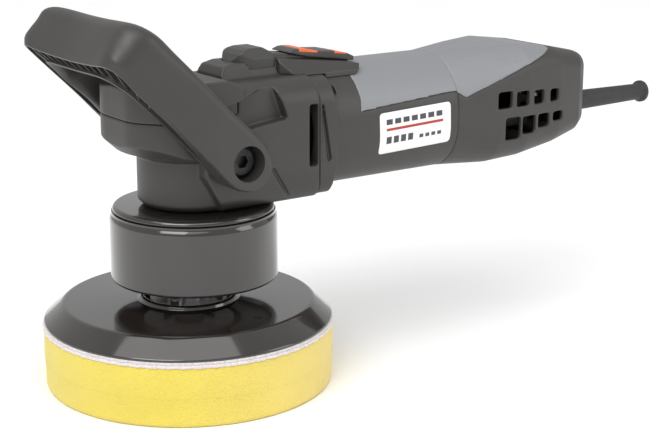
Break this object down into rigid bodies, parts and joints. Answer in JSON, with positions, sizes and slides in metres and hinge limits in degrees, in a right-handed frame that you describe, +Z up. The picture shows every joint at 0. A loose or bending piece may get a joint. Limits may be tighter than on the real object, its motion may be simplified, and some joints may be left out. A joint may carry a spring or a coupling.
{
  "type": "dual-action rotary polisher",
  "caption": "Corded dual-action car polisher: D front handle, geared motor body, orbiting counterweight drum and foam pad on hook-and-loop plate.",
  "frame": {"origin": "on the drive spindle's axis, in the plane of the pad's working face", "axes": "+X towards the cord end of the body, +Z up along the drive spindle, +Y to the far side"},
  "size_m": [0.4074, 0.1508, 0.1933],
  "materials": {
    "housing_plastic": "fine matte moulded grain",
    "button_plastic": "satin moulded plastic",
    "grey_trim": "satin silver-grey paint on plastic",
    "gloss_black": "glossy black",
    "foam": "open-cell yellow polishing foam",
    "loop_fabric": "brushed off-white loop fabric",
    "hook_fabric": "moulded white hooks",
    "steel": "turned and ground steel",
    "dark_steel": "black oxide",
    "cast_carrier": "die-cast aluminium",
    "laminated_iron": "stacked laminations",
    "copper": "enamelled copper",
    "brass": "turned brass",
    "inner_plastic": "glass-filled nylon",
    "potting": "potted circuit board",
    "sleeve_rubber": "soft moulded rubber",
    "label_film": null,
    "accent_orange": "satin orange plastic"
  },
  "bodies": {
    "housing": {"gear_case": "housing_plastic", "gear_cover": "housing_plastic", "cover_screws": "steel", "spindle_bearing": "steel", "spindle_bush": "steel", "bearing_circlip": "dark_steel", "case_screws": "dark_steel", "front_bearing": "steel", "rear_bearing": "steel", "motor_housing": "housing_plastic", "front_trim": "grey_trim", "stator_core": "laminated_iron", "field_coils": "copper", "brush_bracket": "inner_plastic", "brush_holders": "brass", "carbon_brushes": "inner_plastic", "brush_springs": "steel", "rear_shell_near": "housing_plastic", "rear_shell_far": "housing_plastic", "rear_trim": "grey_trim", "shell_screws": "steel", "speed_controller": "potting", "switch_block": "inner_plastic", "terminal_block": "inner_plastic", "cord_clamp": "inner_plastic", "clamp_screws": "steel", "strain_relief": "sleeve_rubber", "rating_label": "label_film", "switch_bezel": "housing_plastic", "lock_spring": "steel", "front_handle": "housing_plastic", "handle_screws": "dark_steel", "handle_inserts": "brass"},
    "armature": {"pinion": "dark_steel", "armature_shaft": "steel", "cooling_fan": "inner_plastic", "armature_core": "laminated_iron", "armature_windings": "copper", "commutator": "copper"},
    "spindle": {"output_spindle": "steel", "crown_gear": "dark_steel", "eccentric_carrier": "cast_carrier", "counterweight": "dark_steel", "drum_cap": "gloss_black", "drum_shell": "gloss_black", "drum_screws": "steel", "pad_bearings": "steel", "carrier_circlip": "dark_steel"},
    "pad": {"foam_pad": "foam", "loop_layer": "loop_fabric", "hook_disc": "hook_fabric", "backing_plate": "gloss_black", "pad_spindle": "steel", "plate_screws": "steel", "pad_circlip": "dark_steel"},
    "switch": {"switch_slider": "button_plastic", "switch_pads": "accent_orange"},
    "lock": {"lock_button": "button_plastic", "lock_pin": "steel"},
    "dial": {"speed_dial": "button_plastic"}
  },
  "joints": [
    {"name": "spindle_spin", "type": "hinge", "parent": "housing", "child": "spindle", "pos_m": [0, 0, 0.1], "axis": [0, 0, 1], "continuous": true},
    {"name": "armature_spin", "type": "hinge", "parent": "housing", "child": "armature", "pos_m": [0.1, 0, 0.1265], "axis": [1, 0, 0], "continuous": true},
    {"name": "pad_spin", "type": "hinge", "parent": "spindle", "child": "pad", "pos_m": [-0.004, 0, 0.05], "axis": [0, 0, 1], "continuous": true},
    {"name": "switch_slide", "type": "slide", "parent": "housing", "child": "switch", "axis": [-0.9938, 0, 0.1115], "range_m": [0, 0.005]},
    {"name": "lock_press", "type": "slide", "parent": "housing", "child": "lock", "axis": [0, 0, -1], "range_m": [0, 0.0035], "stiffness_N_per_m": 900, "springref_m": -0.003, "deforming": ["lock_spring"]},
    {"name": "speed_dial_turn", "type": "hinge", "parent": "housing", "child": "dial", "pos_m": [0.208, 0.0205, 0.1265], "axis": [0, 0, 1], "range_deg": [0, 270]}
  ],
  "couplings": [
    {"joint": "armature_spin", "follows": "spindle_spin", "ratio": 4}
  ]
}
